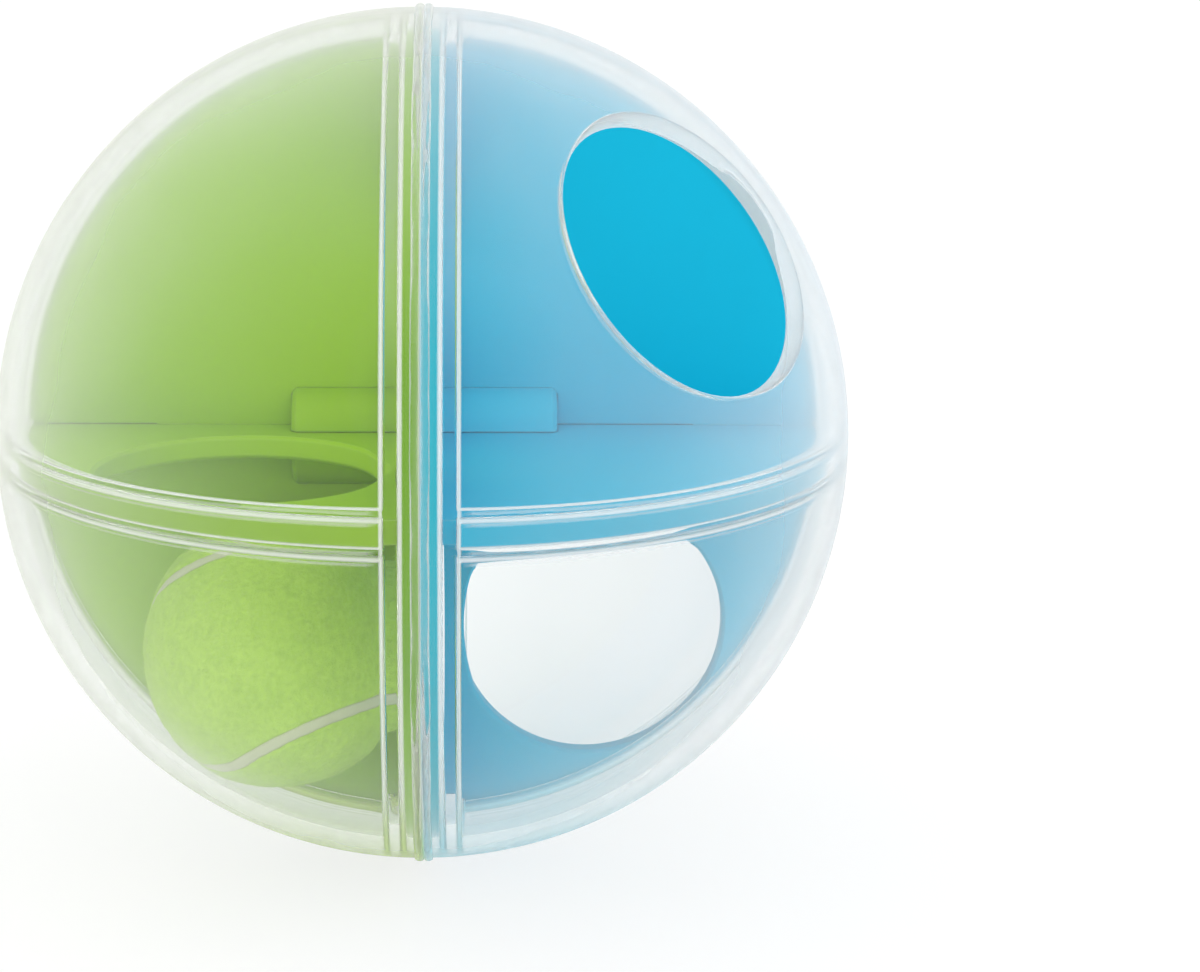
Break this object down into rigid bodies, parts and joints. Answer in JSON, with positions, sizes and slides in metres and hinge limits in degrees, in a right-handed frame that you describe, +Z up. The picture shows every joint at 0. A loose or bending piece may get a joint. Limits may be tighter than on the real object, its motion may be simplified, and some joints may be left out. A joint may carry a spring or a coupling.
{
  "type": "treat maze ball",
  "caption": "Clear hollow pet toy ball in two halves that twist on a hub axle, with crossed green and blue maze panels inside and a tennis ball that drops treats through round ports",
  "frame": {"origin": "centre of the closed ball, on the twist axis at the seam", "axes": "+X along the twist axis from the green half to the blue half, +Z up, -Y to the front"},
  "size_m": [0.2, 0.202, 0.202],
  "materials": {
    "clear_plastic": "clear moulded plastic, polished outside, a little milky",
    "green_plastic": "moulded plastic, satin",
    "blue_plastic": "moulded plastic, satin",
    "axle_plastic": "turned plain plastic",
    "core_rubber": "moulded rubber",
    "felt": "woven felt with a short nap",
    "seam_rubber": "pale rubber seam cement"
  },
  "bodies": {
    "green_half": {"clear_shell_left": "clear_plastic", "green_divider": "green_plastic", "green_shelf": "green_plastic", "green_wall": "green_plastic"},
    "axle": {"hub_axle": "axle_plastic"},
    "blue_half": {"clear_shell_right": "clear_plastic", "blue_divider": "blue_plastic", "blue_wall": "blue_plastic", "blue_shelf": "blue_plastic"},
    "tennis_ball": {"ball_core": "core_rubber", "ball_felt_front": "felt", "ball_felt_rear": "felt", "ball_seam": "seam_rubber"}
  },
  "joints": [
    {"name": "pull_apart", "type": "slide", "parent": "green_half", "child": "axle", "axis": [1, 0, 0], "range_m": [0, 0.08]},
    {"name": "twist", "type": "hinge", "parent": "axle", "child": "blue_half", "pos_m": [0, 0, 0], "axis": [1, 0, 0], "continuous": true},
    {"name": "ball_roll", "type": "hinge", "parent": "green_half", "child": "tennis_ball", "pos_m": [-0.0322, -0.03475, -0.04221], "axis": [1, 0, 0], "continuous": true}
  ]
}
